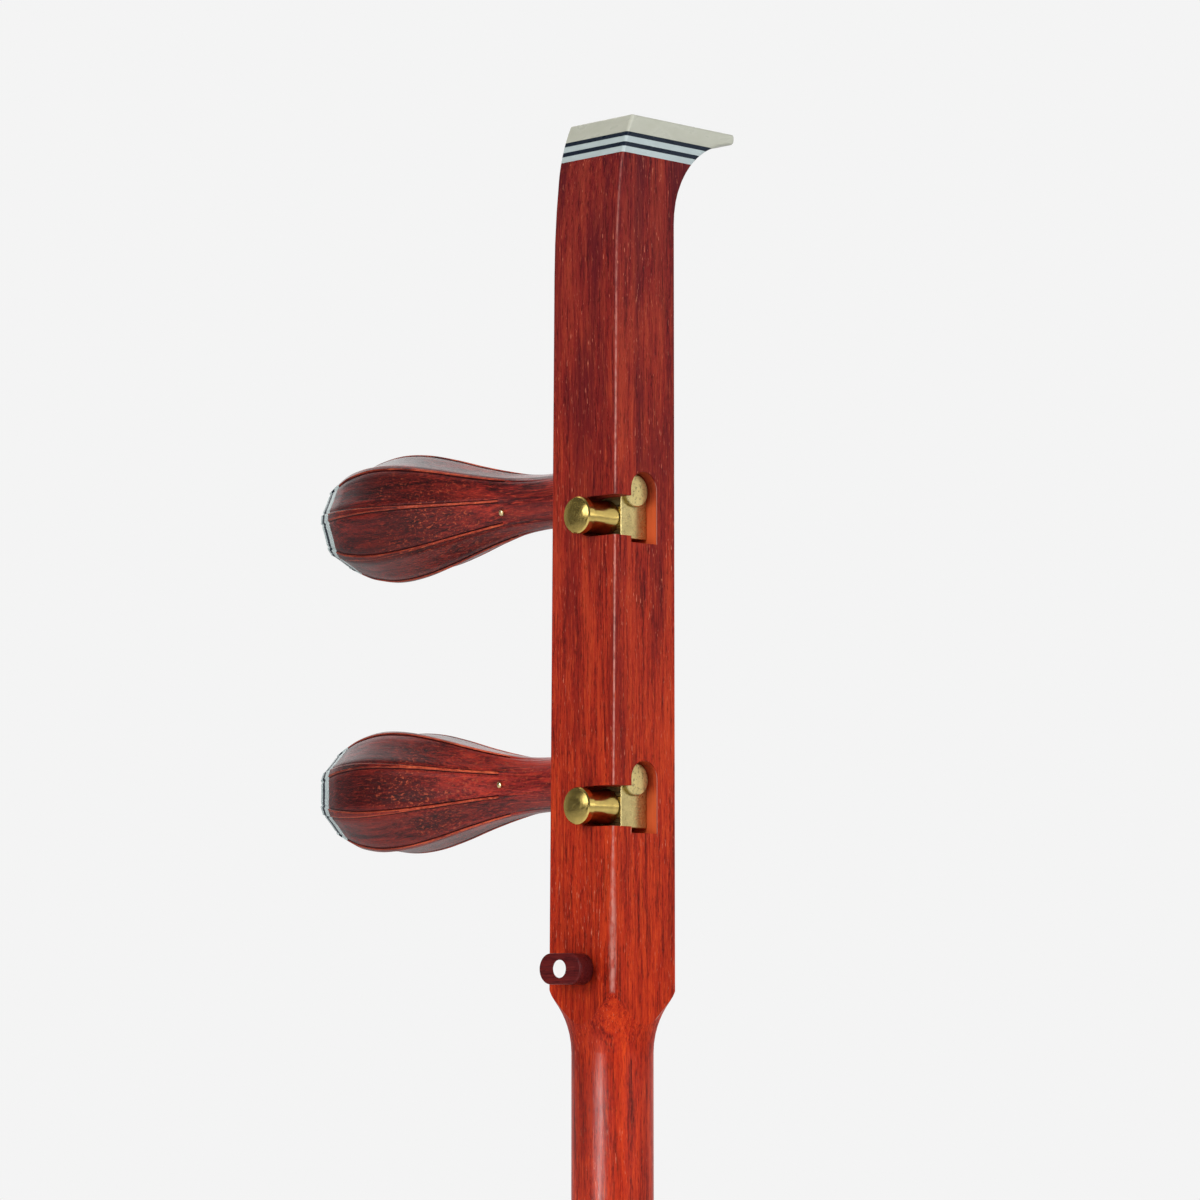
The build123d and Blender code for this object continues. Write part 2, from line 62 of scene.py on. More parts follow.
# --- Node helpers ---------------------------------------------------------------------------------
class Graph:
    """A node tree, with short calls for the nodes that the finishes and the world share."""

    def __init__(self, tree):
        self.tree = tree

    def feed(self, socket, value):
        """Link another node's output to a socket, or set the socket's own value or colour."""
        if isinstance(value, bpy.types.NodeSocket):
            self.tree.links.new(value, socket)
        elif isinstance(value, tuple) and socket.type == "RGBA":
            socket.default_value = (*value, 1)
        else:
            socket.default_value = value

    def add(self, kind, inputs=(), **settings):
        made = self.tree.nodes.new(kind)
        for key, value in settings.items():
            setattr(made, key, value)
        for socket, value in dict(inputs).items():
            self.feed(made.inputs[socket], value)
        return made

    def coordinates(self, kind="Object"):
        return self.add("ShaderNodeTexCoord").outputs[kind]

    def axis(self, letter):
        """One object coordinate in metres."""
        return self.add("ShaderNodeSeparateXYZ", {"Vector": self.coordinates()}).outputs[letter]

    def place(self, scale, turn=(0, 0, 0)):
        """Object coordinates in millimetres, stretched by scale after a turn in degrees."""
        coords = self.coordinates()
        if any(turn):
            angles = tuple(math.radians(a) for a in turn)
            turned = self.add("ShaderNodeMapping", {"Vector": coords, "Rotation": angles})
            coords = turned.outputs["Vector"]
        factors = tuple(MM * s for s in scale)
        return self.add("ShaderNodeMapping", {"Vector": coords, "Scale": factors}).outputs["Vector"]

    def noise(self, vector, detail=3.0, roughness=0.5, distortion=0.0):
        inputs = {"Vector": vector, "Scale": 1.0, "Detail": detail}
        inputs.update({"Roughness": roughness, "Distortion": distortion})
        return self.add("ShaderNodeTexNoise", inputs).outputs["Fac"]

    def ramp(self, value, stops):
        made = self.add("ShaderNodeValToRGB", {"Fac": value})
        elements = made.color_ramp.elements
        while len(elements) < len(stops):
            elements.new(0.5)
        for element, (position, colour) in zip(elements, stops):
            element.position = position
            element.color = (*colour, 1) if isinstance(colour, tuple) else (colour, colour, colour, 1)
        return made.outputs["Color"]

    def mix(self, share, first, second, blend="MIX"):
        inputs = {0: share, 6: first, 7: second}
        return self.add("ShaderNodeMix", inputs, data_type="RGBA", blend_type=blend).outputs[2]

    def mix_level(self, share, first, second):
        inputs = {0: share, 2: first, 3: second}
        return self.add("ShaderNodeMix", inputs, data_type="FLOAT").outputs[0]

    def maths(self, operation, *values):
        return self.add("ShaderNodeMath", dict(enumerate(values)), operation=operation).outputs[0]

    def times(self, total, *others):
        for value in others:
            total = self.maths("MULTIPLY", total, value)
        return total

    def plus(self, total, *others):
        for value in others:
            total = self.maths("ADD", total, value)
        return total

    def swing(self, noise, amount):
        """How far a noise lies above or below its middle, scaled."""
        return self.times(self.maths("SUBTRACT", noise, 0.5), amount)

    def remap(self, value, low, high, to_low=0.0, to_high=1.0):
        inputs = {"Value": value, "From Min": low, "From Max": high, "To Min": to_low, "To Max": to_high}
        return self.add("ShaderNodeMapRange", inputs, interpolation_type="SMOOTHSTEP").outputs["Result"]

    def toward(self, vector, azimuth, height=0.0):
        """Cosine between a vector and a direction given in degrees, from +X towards +Y and up."""
        turn, rise = math.radians(azimuth), math.radians(height)
        direction = (math.cos(rise) * math.cos(turn), math.cos(rise) * math.sin(turn), math.sin(rise))
        made = self.add("ShaderNodeVectorMath", {0: vector, 1: direction}, operation="DOT_PRODUCT")
        return made.outputs["Value"]

    def length(self, vector):
        return self.add("ShaderNodeVectorMath", {0: vector}, operation="LENGTH").outputs["Value"]

    def bump(self, height, distance, strength=1.0, after=None):
        inputs = {"Height": height, "Distance": distance, "Strength": strength}
        if after is not None:
            inputs["Normal"] = after
        return self.add("ShaderNodeBump", inputs).outputs["Normal"]


class Surface(Graph):
    """The node tree of one material."""

    SOCKETS = {
        "colour": "Base Color",
        "metal": "Metallic",
        "rough": "Roughness",
        "normal": "Normal",
        "ior_level": "Specular IOR Level",
        "edge_tint": "Specular Tint",
        "coat": "Coat Weight",
        "coat_rough": "Coat Roughness",
        "coat_normal": "Coat Normal",
    }

    def __init__(self, name):
        self.material = bpy.data.materials.new(name)
        self.material.use_nodes = True
        super().__init__(self.material.node_tree)
        self.shader = self.tree.nodes["Principled BSDF"]

    def finish(self, **sockets):
        for key, value in sockets.items():
            self.feed(self.shader.inputs[self.SOCKETS[key]], value)
        return self.material


def stretch(along, across, lengthwise):
    """Scale triple for grain that runs along one axis."""
    return tuple(lengthwise if letter == along else across for letter in "XYZ")


def scaled(colour, *factors):
    """A colour times one factor, or times one for each channel."""
    return tuple(c * f for c, f in zip(colour, factors * (3 // len(factors))))


# --- Finishes -------------------------------------------------------------------------------------
# Layers of the rosewood's grain: turns per millimetre across and along it, then the noise's detail,
# roughness and distortion.
GRAIN_LAYERS = {
    "drift": (0.09, 0.012, 3.0, 0.55, 0.0),
    "broad": (0.24, 0.018, 4.0, 0.55, 1.5),
    "streak": (0.95, 0.036, 5.0, 0.68, 0.6),
    "line": (1.7, 0.040, 3.0, 0.6, 0.3),
    "glint": (2.4, 0.11, 3.0, 0.6, 0.2),
    "fibre": (4.0, 0.16, 3.0, 0.6, 0.0),
    "speck": (1.9, 0.55, 3.0, 0.7, 0.0),
    "pore": (2.6, 0.30, 2.0, 0.7, 0.0),
}
# Colour of the painted highlight on the front ridge and of the pale line on the recess rims.
RIDGE_HIGHLIGHT_AND_RIM_WOOD = (0.46, 0.19, 0.155)
# Bare sawn wood, made bright orange as painted light falling in through the notches.
BARE_LIT_WOOD = ((0.50, 0.070, 0.020), (0.66, 0.125, 0.040))


def hardwood(
    name,
    along,
    dark,
    middle,
    light,
    pore_share=0.5,
    fleck=None,
    fleck_reach=None,
    tint=None,
    rough=0.34,
    lean=(0, 0, 0),
    bare_and_lit=None,
    wear_and_highlight=None,
    swirl=None,
    coat=lambda g: 0.1,
    coat_rough=0.2,
    banding=lambda g: 0.5,
):
    """Oiled rosewood: long wandering streaks, short pores along the grain and a soft satin.

    fleck is a colour, its scales across and along the grain, and where the noise starts and fills;
    tint multiplies the colour by stops between two positions along the grain.
    """
    g = Surface(name)

    def layer(kind):
        across, lengthwise, *noise_settings = GRAIN_LAYERS[kind]
        return g.noise(g.place(stretch(along, across, lengthwise), lean), *noise_settings)

    drift, broad, streak, line = (layer(kind) for kind in ("drift", "broad", "streak", "line"))
    glint, fibre, speck, pore = (layer(kind) for kind in ("glint", "fibre", "speck", "pore"))
    figure = g.plus(g.times(broad, 0.48), g.times(streak, 0.52), g.swing(fibre, 0.26), g.swing(speck, 0.26))
    if swirl:
        figure = g.plus(figure, swirl(g, broad))
    colour = g.ramp(figure, [(0.37, dark), (0.48, middle), (0.63, light)])
    bands = banding(g)
    dark_band = g.times(g.remap(drift, 0.46, 0.62), bands)
    light_band = g.times(g.remap(drift, 0.46, 0.32), g.times(bands, 0.9))
    colour = g.mix(dark_band, colour, scaled(dark, 1.5))
    colour = g.mix(light_band, colour, scaled(light, 1.08, 1.1, 1.1))
    colour = g.mix(g.ramp(line, [(0.56, 0.0), (0.70, 0.5)]), colour, dark)
    colour = g.mix(g.ramp(glint, [(0.56, 0.0), (0.70, 0.55)]), colour, scaled(light, 1.35, 1.75, 1.5))
    if tint:
        low, high, stops = tint
        position = g.remap(g.axis(along), low, high)
        colour = g.mix(1.0, colour, g.ramp(position, stops), "MULTIPLY")
    pore_mask = g.ramp(pore, [(0.58, 0.0), (0.66, 1.0)])
    colour = g.mix(g.times(pore_mask, pore_share), colour, scaled(dark, 0.4))
    if fleck:
        fleck_colour, across, lengthwise, low, high = fleck
        spot = g.noise(g.place(stretch(along, across, lengthwise), lean), 2.0, 0.6)
        cluster = g.noise(g.place((0.05, 0.05, 0.05)), 2.0, 0.5)
        clustered = g.ramp(cluster, [(0.40, 0.15), (0.6, 1.0)])
        spot_mask = g.times(g.ramp(spot, [(low, 0.0), (high, 1.0)]), clustered)
        if fleck_reach:
            spot_mask = g.times(spot_mask, g.remap(g.axis(along), *fleck_reach))
        colour = g.mix(spot_mask, colour, fleck_colour)
    # Painted highlight along the front ridge, and a pale line along the recess rims.
    if wear_and_highlight:
        colour = g.mix(wear_and_highlight(g, streak), colour, RIDGE_HIGHLIGHT_AND_RIM_WOOD)
    # Bare wood in the recesses, brightened as painted light from the notches.
    if bare_and_lit:
        colour = g.mix(bare_and_lit(g), colour, g.mix(fibre, *BARE_LIT_WOOD))
    satin = g.remap(streak, 0.3, 0.7, rough + 0.05, rough - 0.05)
    return g.finish(
        colour=colour,
        rough=g.plus(satin, g.times(pore_mask, 0.2)),
        normal=g.bump(fibre, 0.00005, 0.4, g.bump(pore_mask, 0.00006, -0.8)),
        ior_level=0.05,
        coat=coat(g),
        coat_rough=coat_rough,
        coat_normal=g.bump(streak, 0.00022, 0.5),
    )


# Fineness of the tool marks: lathe rings round an axis, or file lines along X.
TOOL_MARKS = {"X": (9.0, 0.25, 0.25), "Y": (0.25, 9.0, 0.25), None: (0.05, 6.0, 6.0)}
# Reach of the painted shade between close parts.
PAINTED_SHADE_REACH = 0.007


def brass(
    name,
    colour,
    stain,
    turned=None,
    rough=0.2,
    wear_and_highlight=0.35,
    stain_start=0.60,
    edge_tint=(1.0, 1.0, 1.0),
    painted_gap_shade=0.0,
    lathe=0.35,
):
    """Machined brass: lathe or file lines, faint handling stains and a little tarnish."""
    g = Surface(name)
    cloud = g.noise(g.place((0.35, 0.35, 0.35)), 4.0, 0.6, 0.4)
    spots = g.noise(g.place((1.1, 1.1, 1.1)), 3.0, 0.65)
    tone = g.mix(g.remap(cloud, 0.35, 0.7), colour, scaled(colour, 0.82))
    stained = g.times(g.ramp(spots, [(stain_start, 0.0), (stain_start + 0.12, 1.0)]), wear_and_highlight)
    tone = g.mix(stained, tone, stain)
    # Painted shade: the colour darkens where nearby parts close in around the surface, as ambient occlusion
    # finds them.
    if painted_gap_shade:
        occlusion = g.add("ShaderNodeAmbientOcclusion", {"Distance": PAINTED_SHADE_REACH}, samples=8)
        gap_shaded = g.remap(occlusion.outputs["AO"], 0.50, 0.88, painted_gap_shade, 0.0)
        tone = g.mix(gap_shaded, tone, scaled(colour, 0.12))
    lines = g.noise(g.place(TOOL_MARKS[turned]), 2.0, 0.5)
    satin = g.remap(lines, 0.3, 0.7, rough - 0.05, rough + 0.07)
    return g.finish(
        colour=tone,
        metal=1.0,
        rough=g.plus(satin, g.times(cloud, 0.08)),
        normal=g.bump(cloud, 0.00015, 0.12, g.bump(lines, 0.00002, lathe)),
        edge_tint=edge_tint,
    )


def plate(name, colour, shade, rough=0.3, grain=0.25, shine=0.4):
    """Polished bone-like or dyed veneer with a faint, uneven tone."""
    g = Surface(name)
    cloud = g.noise(g.place((0.12, 0.12, 0.3)), 3.0, 0.55, 0.3)
    fibres = g.noise(g.place((0.5, 0.5, 5.0)), 2.0, 0.5)
    tone = g.mix(g.remap(cloud, 0.3, 0.7, 0.0, 0.8), colour, shade)
    return g.finish(
        colour=g.mix(g.times(fibres, grain), tone, shade),
        rough=g.remap(cloud, 0.3, 0.7, rough - 0.04, rough + 0.06),
        normal=g.bump(fibres, 0.00002, 0.2),
        ior_level=shine,
    )


def steel(name):
    """Bright screw steel with faint turning lines."""
    g = Surface(name)
    lines = g.noise(g.place((7.0, 0.4, 0.4)), 2.0, 0.5)
    return g.finish(
        colour=g.mix(lines, (0.42, 0.42, 0.43), (0.62, 0.62, 0.63)),
        metal=1.0,
        rough=g.remap(lines, 0.3, 0.7, 0.22, 0.34),
        normal=g.bump(lines, 0.00002, 0.3),
    )


head_top = cad_box[1][2]
nut_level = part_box("nut_block")[0].z
side_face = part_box("neck")[1].x
lower_front = -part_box("neck")[0].y
# The front face leans back towards the head, and by this much at the tuners.
FRONT_LEAN = 0.0011
FACE_MARGIN = 0.00015
back_face = side_face - FACE_MARGIN


def cut_depth(g):
    """How deep a point of the neck lies below its outer faces."""
    sideways = g.maths("SUBTRACT", side_face, g.maths("ABSOLUTE", g.axis("X")))
    forward = g.plus(g.axis("Y"), lower_front - FRONT_LEAN)
    backward = g.maths("SUBTRACT", back_face, g.axis("Y"))
    return g.maths("MINIMUM", sideways, g.maths("MINIMUM", forward, backward))


def bare_wood_and_notch_light(g):
    """Where the neck is cut into: the recesses, notches and bores show bare sawn wood, painted bright as a
    pool of light falling in through each notch.
    """
    nearest = cut_depth(g)
    housing_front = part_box("lower_housing")[0].y
    height = g.axis("Z")
    zone = 0.0
    for tuner in TUNERS:
        housing_low, housing_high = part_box(f"{tuner}_housing")
        worm_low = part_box(f"{tuner}_worm_shaft")[0].z
        above = g.remap(height, housing_low.z - 0.004, housing_low.z - 0.003)
        below = g.remap(height, housing_high.z + 0.001, housing_high.z + 0.002, 1.0, 0.0)
        # Painted light: the bare wood is full strength below each worm, where light through the notch
        # falls, and about a third as strong above it.
        notch_light = g.remap(height, worm_low - 0.0005, worm_low + 0.0035, 1.0, 0.35)
        zone = g.maths("MAXIMUM", zone, g.times(notch_light, g.times(above, below)))
    behind = g.remap(g.axis("Y"), housing_front - 0.0005, housing_front + 0.0005)
    return g.times(g.remap(nearest, 0.0004, 0.0007), g.times(zone, behind))


def ridge_highlight_and_rim(g, streak):
    """Painted highlight along the front ridge, and a pale line painted along the rims of the recesses."""
    facing = g.toward(g.coordinates("Normal"), -45)
    broader = g.remap(g.axis("Z"), nut_level - 0.004, nut_level + 0.012, 0.030, 0.0)
    facing = g.plus(g.plus(facing, broader), g.swing(streak, 0.04))
    band = g.remap(facing, 0.945, 0.985)
    # The painted highlight also follows the ridge itself as a stripe, which is wider above the nut block.
    from_side = g.maths("SUBTRACT", side_face, g.axis("X"))
    from_edge = g.plus(from_side, g.plus(g.axis("Y"), lower_front))
    from_edge = g.maths("SUBTRACT", from_edge, 0.0005)
    wide = g.remap(g.axis("Z"), nut_level + 0.010, nut_level + 0.045, 0.0018, 0.0008)
    wide = g.times(wide, g.remap(g.axis("Z"), nut_level - 0.008, nut_level + 0.008, 0.3, 1.0))
    stripe = g.remap(g.maths("DIVIDE", from_edge, wide), 0.0, 1.0, 0.9, 0.0)
    band = g.maths("MAXIMUM", band, stripe)
    # The painted highlight is patchy, starts above the shoulder and is weaker towards the head.
    patchy = g.remap(g.noise(g.place((0.8, 0.8, 0.35)), 3.0, 0.6), 0.34, 0.62, 0.25, 0.85)
    shoulder = g.remap(g.axis("Z"), nut_level - 0.006, nut_level - 0.003)
    upper = g.remap(g.axis("Z"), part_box("upper_housing")[1].z, head_top - 0.02, 1.0, 0.42)
    band = g.times(g.times(band, patchy), g.times(shoulder, upper))
    # A pale line is painted along the rim of each recess too.
    depth = cut_depth(g)
    housing_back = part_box("lower_housing")[1].y
    rim = g.times(g.remap(depth, 0.0001, 0.0002), g.remap(depth, 0.0003, 0.0005, 0.9, 0.0))
    rim = g.times(rim, g.remap(g.axis("Y"), housing_back - 0.001, housing_back))
    rim = g.times(rim, g.remap(g.axis("Y"), 0.008, 0.009, 1.0, 0.0))
    return g.maths("MAXIMUM", band, rim)


def shaft_polish(g):
    """The round shaft shines along its front left, where the playing hand slides."""
    polished = g.remap(g.toward(g.coordinates("Normal"), -68), 0.80, 0.97, 0.2, 0.8)
    level = g.remap(g.axis("Z"), nut_level - 0.035, nut_level - 0.012, 1.0, 0.07)
    return g.times(polished, level)


def shoulder_swirl(g, broad):
    """Nested arches where the turned shoulder cuts across the growth rings under the front ridge."""
    scale = (1100, 1100, 850)
    centre = (-scale[0] * side_face, scale[1] * lower_front, -scale[2] * (nut_level - 0.012))
    inputs = {"Vector": g.coordinates(), "Location": centre, "Scale": scale}
    reach = g.length(g.add("ShaderNodeMapping", inputs).outputs["Vector"])
    wave = g.maths("SINE", g.plus(g.times(reach, 6.0), g.times(broad, 10.0)))
    return g.times(g.times(wave, 0.045), g.remap(reach, 4.0, 13.0, 1.0, 0.0))


neck_wood = hardwood(
    "neck_rosewood",
    "Z",
    (0.098, 0.0072, 0.0046),
    (0.325, 0.0205, 0.0080),
    (0.480, 0.0460, 0.0110),
    pore_share=0.6,
    # The pale flecks are painted glints of light in the pores.
    fleck=((0.56, 0.16, 0.095), 2.3, 0.34, 0.645, 0.75),
    tint=(
        nut_level - 0.03,
        head_top,
        [(0.0, (1.03, 0.86, 0.75)), (0.10, (1.03, 1.0, 1.0)), (1.0, (0.49, 0.66, 1.65))],
    ),
    lean=(0, 1.2, 0),
    bare_and_lit=bare_wood_and_notch_light,
    wear_and_highlight=ridge_highlight_and_rim,
    swirl=shoulder_swirl,
    coat=shaft_polish,
    banding=lambda g: g.remap(g.axis("Z"), nut_level, head_top, 0.36, 0.8),
)
peg_wood = hardwood(
    "peg_rosewood",
    "X",
    (0.012, 0.0013, 0.0018),
    (0.088, 0.0056, 0.0060),
    (0.235, 0.0190, 0.0110),
    pore_share=0.6,
    fleck=((0.36, 0.058, 0.024), 1.6, 0.8, 0.57, 0.70),
    fleck_reach=(-side_face - 0.084, -side_face - 0.062),
    tint=(
        -side_face - 0.099,
        -side_face - 0.012,
        [(0.0, (0.70, 0.62, 0.75)), (0.45, (1.0, 1.0, 1.0)), (1.0, (1.95, 1.85, 1.75))],
    ),
    rough=0.27,
    coat=lambda g: 0.42,
    coat_rough=0.3,
)
# Painted highlight: a lighter wood for the edges of the peg ribs, stronger towards the neck.
rib_highlight_wood = hardwood(
    "rib_highlight_rosewood",
    "X",
    (0.07, 0.0070, 0.0045),
    (0.19, 0.022, 0.011),
    (0.36, 0.060, 0.028),
    pore_share=0.3,
    tint=(-side_face - 0.080, -side_face - 0.035, [(0.0, (0.9, 0.9, 0.9)), (1.0, (2.0, 2.1, 1.9))]),
    rough=0.27,
    coat=lambda g: 0.3,
)
# Painted shade: a dark wood for the grooves beside the peg ribs.
groove_shade_wood = hardwood(
    "groove_shade_rosewood",
    "X",
    (0.010, 0.0012, 0.0016),
    (0.030, 0.0025, 0.0028),
    (0.060, 0.0050, 0.0045),
    pore_share=0.3,
    rough=0.35,
)
nut_wood = hardwood(
    "nut_rosewood",
    "X",
    (0.030, 0.003, 0.004),
    (0.075, 0.0075, 0.0085),
    (0.12, 0.013, 0.012),
    rough=0.3,
)
ivory = plate("bone_plate", (0.43, 0.435, 0.37), (0.38, 0.385, 0.315))
white_veneer = plate("white_veneer", (0.40, 0.47, 0.475), (0.34, 0.40, 0.405), grain=0.15)
black_veneer = plate("black_veneer", (0.006, 0.011, 0.021), (0.009, 0.015, 0.027), grain=0.15, shine=0.12)
housing_brass = brass(
    "housing_brass",
    (0.475, 0.385, 0.165),
    (0.20, 0.155, 0.072),
    rough=0.25,
    wear_and_highlight=0.6,
    stain_start=0.56,
    lathe=0.12,
)
worm_brass = brass(
    "worm_brass",
    (0.60, 0.485, 0.21),
    (0.17, 0.14, 0.07),
    rough=0.3,
    wear_and_highlight=0.8,
    stain_start=0.53,
)
# The string posts carry painted shade where they run close to the neck and the housing.
post_brass = brass(
    "post_brass",
    (0.80, 0.59, 0.18),
    (0.30, 0.21, 0.07),
    turned="Y",
    rough=0.14,
    wear_and_highlight=0.2,
    edge_tint=(0.3, 0.3, 0.3),
    painted_gap_shade=0.55,
    lathe=0.12,
)
pin_brass = brass("pin_brass", (0.80, 0.62, 0.32), (0.50, 0.35, 0.15), rough=0.18, wear_and_highlight=0.2)
bush_brass = brass("bush_brass", (0.52, 0.40, 0.15), (0.22, 0.16, 0.06), turned="X", rough=0.22)
screw_steel = steel("screw_steel")

FINISHES = {
    "neck": neck_wood,
    "cap_white_lower": white_veneer,
    "cap_black_lower": black_veneer,
    "cap_white_upper": white_veneer,
    "cap_black_upper": black_veneer,
    "cap_ivory": ivory,
    "nut_block": nut_wood,
    "nut_inlay_dot": plate("inlay_bone", (0.80, 0.80, 0.80), (0.76, 0.76, 0.75)),
    "nut_dowel": nut_wood,
}
for tuner in TUNERS:
    FINISHES[f"{tuner}_housing"] = housing_brass
    FINISHES[f"{tuner}_worm_shaft"] = worm_brass
    FINISHES[f"{tuner}_worm_wheel"] = worm_brass
    FINISHES[f"{tuner}_string_post"] = post_brass
    FINISHES[f"{tuner}_wheel_screw"] = screw_steel
    FINISHES[f"{tuner}_peg_bush"] = bush_brass
    FINISHES[f"{tuner}_peg_handle"] = peg_wood
    FINISHES[f"{tuner}_cross_pin"] = pin_brass
    FINISHES[f"{tuner}_peg_white_inner"] = white_veneer
    FINISHES[f"{tuner}_peg_black_ring"] = black_veneer
    FINISHES[f"{tuner}_peg_white_outer"] = white_veneer
for name, material in FINISHES.items():
    mesh = nodes[name].data
    mesh.materials.clear()
    mesh.materials.append(material)


def new_piece(name, vertices, faces, materials):
    mesh = bpy.data.meshes.new(name)
    mesh.from_pydata(vertices, [], faces)
    for material in materials:
        mesh.materials.append(material)
    made = bpy.data.objects.new(name, mesh)
    scene.collection.objects.link(made)
    return made


# --- Peg handles ----------------------------------------------------------------------------------
# All lengths in this part are in millimetres, and distances are taken from the neck's side.
# Distance and half width across the flats.
HANDLE_PROFILE = [
    (1.3, 8.7), (14.0, 8.3), (26.0, 9.2), (40.0, 11.9), (54.0, 15.2),
    (66.0, 17.5), (77.0, 18.25), (87.0, 17.1), (93.5, 15.2), (99.3, 13.05),
]
# Distance and radius of the turned part next to the neck, which the ridges fade into.
TURNED_PROFILE = [
    (0.0, 8.2), (12.0, 8.2), (17.0, 8.45), (22.0, 9.0),
    (27.0, 10.1), (32.0, 11.6), (38.0, 14.0), (44.0, 18.0),
]
# Half width of the flat rib along each ridge: a hairline at the middle, broadening to the end.
RIB_PROFILE = [(0.0, 0.28), (40.0, 0.28), (55.0, 0.38), (70.0, 0.68), (85.0, 1.10), (99.3, 1.5)]
PEG_TURNS = {"upper": 20.0, "lower": 0.0}  # degrees, as each peg was left
FACETS = 8
HALF_FACET = math.pi / FACETS
BEAD_START = 25.0
RIB_SPLIT = 60.0  # beyond it the middle of the rib loses its painted highlight and is as dark as the facets
RIB_DROP = 0.41
GROOVE_DEPTH = 0.36
GROOVE_WIDTH = 0.42
# Distances from the rib's edge of the fine rows of points that carry the groove.
GROOVE_ROWS = (0.1, 0.25, 0.45, 0.75, 1.1)
HOLLOW = 0.024  # depth of each hollow facet over its half width
FADE = 0.5
SKIN = 0.1  # how far the carving lies inside the plain octagon
NO_LIMIT = 99.0
ROW_STEP = 0.85
EDGE_REACH = 0.3
EDGE_ROW = 0.12
EDGE_ROUNDING = 0.06
STUB_RADIUS = 2.2
BORE_CLEARANCE = 0.05
BORE_SPARE = 0.5


def along_profile(profile, distance):
    """Smooth cubic through a profile's points."""
    last = len(profile) - 2
    index = max(i for i in range(last + 1) if i == 0 or profile[i][0] <= distance)
    points = [profile[max(0, min(len(profile) - 1, index + k))] for k in (-1, 0, 1, 2)]
    (x0, y0), (x1, y1), (x2, y2), (x3, y3) = points
    slope_in = (y2 - y0) / (x2 - x0)
    slope_out = (y3 - y1) / (x3 - x1)
    width = x2 - x1
    t = max(0.0, min(1.0, (distance - x1) / width))
    rise = (2 * t**3 - 3 * t**2 + 1) * y1 + (t**3 - 2 * t**2 + t) * width * slope_in
    return rise + (-2 * t**3 + 3 * t**2) * y2 + (t**3 - t**2) * width * slope_out


def soft_minimum(first, second, blend):
    share = max(0.0, min(1.0, 0.5 + 0.5 * (second - first) / blend))
    return second * (1 - share) + first * share - blend * share * (1 - share)


def handle_ring(distance, shrink):
    """Radius and angle of each point round the handle: hollow facets with a fine bead on each ridge."""
    half_width = along_profile(HANDLE_PROFILE, distance)
    turned = along_profile(TURNED_PROFILE, distance) if distance < TURNED_PROFILE[-1][0] else NO_LIMIT
    facet_half = half_width * math.tan(HALF_FACET)
    rib = along_profile(RIB_PROFILE, distance)
    from_ridge = [0.0, 0.6 * rib, 0.95 * rib] + [rib + gap for gap in GROOVE_ROWS]
    start = from_ridge[-1]
    from_ridge += [start + share * (facet_half - start) for share in (0.3, 0.65, 1.0)]
    offsets = [gap - facet_half for gap in from_ridge]
    offsets += [facet_half - gap for gap in reversed(from_ridge[1:-1])]
    ring = []
    for facet in range(FACETS):
        for offset in offsets:
            lean = math.atan(offset / half_width)
            gap = facet_half - abs(offset)
            groove = GROOVE_DEPTH * math.exp(-(((gap - rib - GROOVE_WIDTH) / GROOVE_WIDTH) ** 2))
            hollow = HOLLOW * half_width * (1 - (offset / facet_half) ** 2)
            flat = (half_width - hollow - groove) / math.cos(lean)
            ridge = half_width / math.cos(HALF_FACET)
            rib_top = (ridge - RIB_DROP * rib) / math.cos(HALF_FACET - abs(lean))
            radius = soft_minimum(flat if gap > rib else rib_top, turned, FADE) - shrink - SKIN
            ring.append((radius, 2 * HALF_FACET * facet + lean))
    return ring


